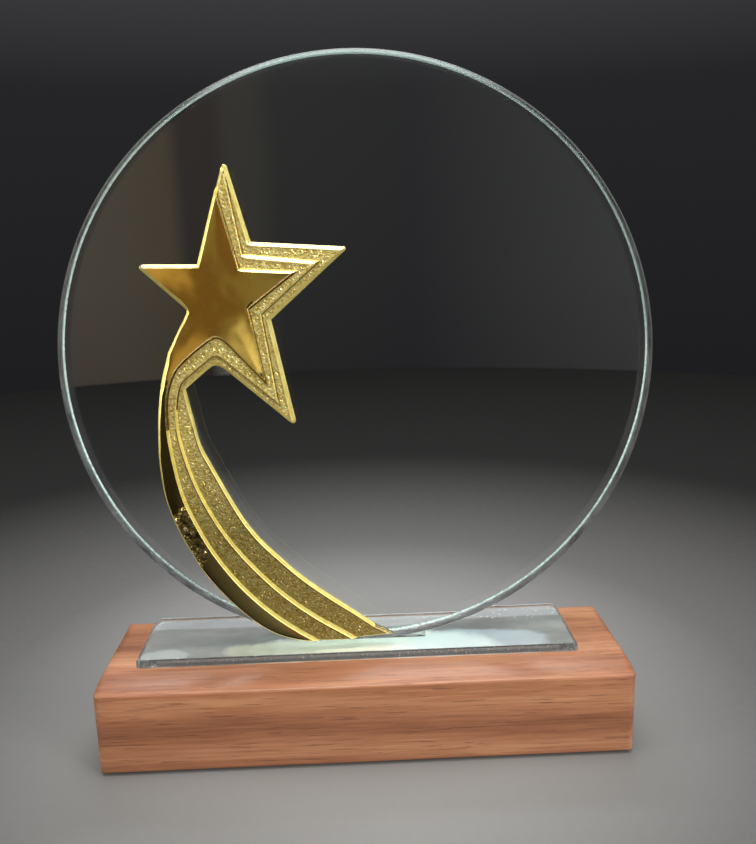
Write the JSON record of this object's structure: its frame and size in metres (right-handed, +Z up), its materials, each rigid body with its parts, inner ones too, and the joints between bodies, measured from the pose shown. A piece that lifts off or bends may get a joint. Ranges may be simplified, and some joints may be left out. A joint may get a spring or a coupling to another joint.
{
  "type": "award trophy",
  "caption": "Standing award: clear round glass disc on a bevelled hardwood block with a glass foot plate, and a gold shooting-star casting on the disc's front.",
  "frame": {"origin": "on the resting plane, under the centre of the disc left to right and the centre of the wooden block front to back", "axes": "+Z up, +X to the right along the block seen from the front, +Y towards the back; the star faces -Y"},
  "size_m": [0.2, 0.0516, 0.2351],
  "materials": {
    "pad": "matte",
    "wood": "satin lacquer",
    "silver_film": "silver, slightly wrinkled",
    "plate_glass": "polished, cut edges",
    "disc_glass": "polished faces, ground and polished rim",
    "clear_adhesive": "clear cured glue",
    "gold": "polished gold plate with stippled steps",
    "tape": "clear-white acrylic tape"
  },
  "bodies": {
    "root": {"foot_pad_front_left": "pad", "foot_pad_front_right": "pad", "foot_pad_back_left": "pad", "foot_pad_back_right": "pad", "wood_base": "wood", "plate_backing_film": "silver_film", "glass_foot_plate": "plate_glass", "disc_bond_bead": "clear_adhesive", "glass_disc": "disc_glass", "star_ornament": "gold", "star_tape_pad": "tape", "tail_tape_pad": "tape"}
  },
  "joints": []
}
